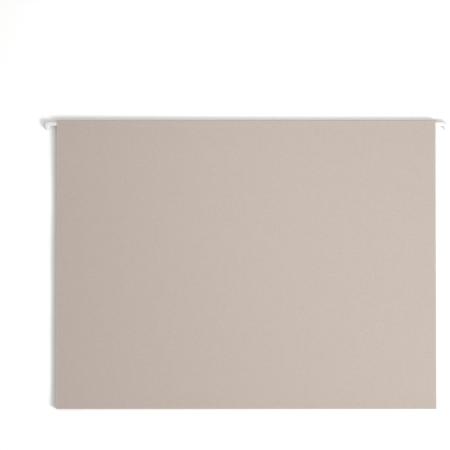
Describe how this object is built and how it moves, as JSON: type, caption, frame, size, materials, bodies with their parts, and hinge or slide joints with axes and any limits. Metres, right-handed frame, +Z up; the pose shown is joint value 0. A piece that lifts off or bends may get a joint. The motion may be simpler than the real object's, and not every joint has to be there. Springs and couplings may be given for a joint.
{
  "type": "hanging file folder",
  "caption": "Letter-size hanging file folder: scored card folded into a pocket, hemmed over flat steel hanger rods whose white-coated hooks ride on drawer rails.",
  "frame": {"origin": "middle of the closed folder's outline, on the surface that it lies on", "axes": "+Z up through the card, off the surface that the folder lies on; +Y from the bottom fold to the rods; +X along the rods, to the right seen from the front panel"},
  "size_m": [0.318, 0.2274, 0.0051],
  "materials": {
    "card": "matte",
    "glue": "satin",
    "rod_steel": "satin",
    "hook_coating": "satin"
  },
  "bodies": {
    "back_leaf": {"back_panel": "card", "back_hem": "card", "back_hem_glue": "glue"},
    "bottom_leaf": {"bottom_fold": "card"},
    "front_leaf": {"front_panel": "card", "front_hem": "card", "front_hem_glue": "glue"},
    "back_hanger": {"back_rod": "rod_steel", "back_left_hook_tip": "hook_coating", "back_right_hook_tip": "hook_coating"},
    "front_hanger": {"front_rod": "rod_steel", "front_left_hook_tip": "hook_coating", "front_right_hook_tip": "hook_coating"}
  },
  "joints": [
    {"name": "back_score", "type": "hinge", "parent": "back_leaf", "child": "bottom_leaf", "pos_m": [0, -0.1134, 0.00025], "axis": [1, 0, 0], "range_deg": [0, 90]},
    {"name": "front_score", "type": "hinge", "parent": "bottom_leaf", "child": "front_leaf", "pos_m": [0, -0.1134, 0.00485], "axis": [1, 0, 0], "range_deg": [0, 90]},
    {"name": "back_rod_float", "type": "slide", "parent": "back_leaf", "child": "back_hanger", "axis": [1, 0, 0], "range_m": [-0.0055, 0.0055]},
    {"name": "front_rod_float", "type": "slide", "parent": "front_leaf", "child": "front_hanger", "axis": [1, 0, 0], "range_m": [-0.0055, 0.0055]}
  ]
}
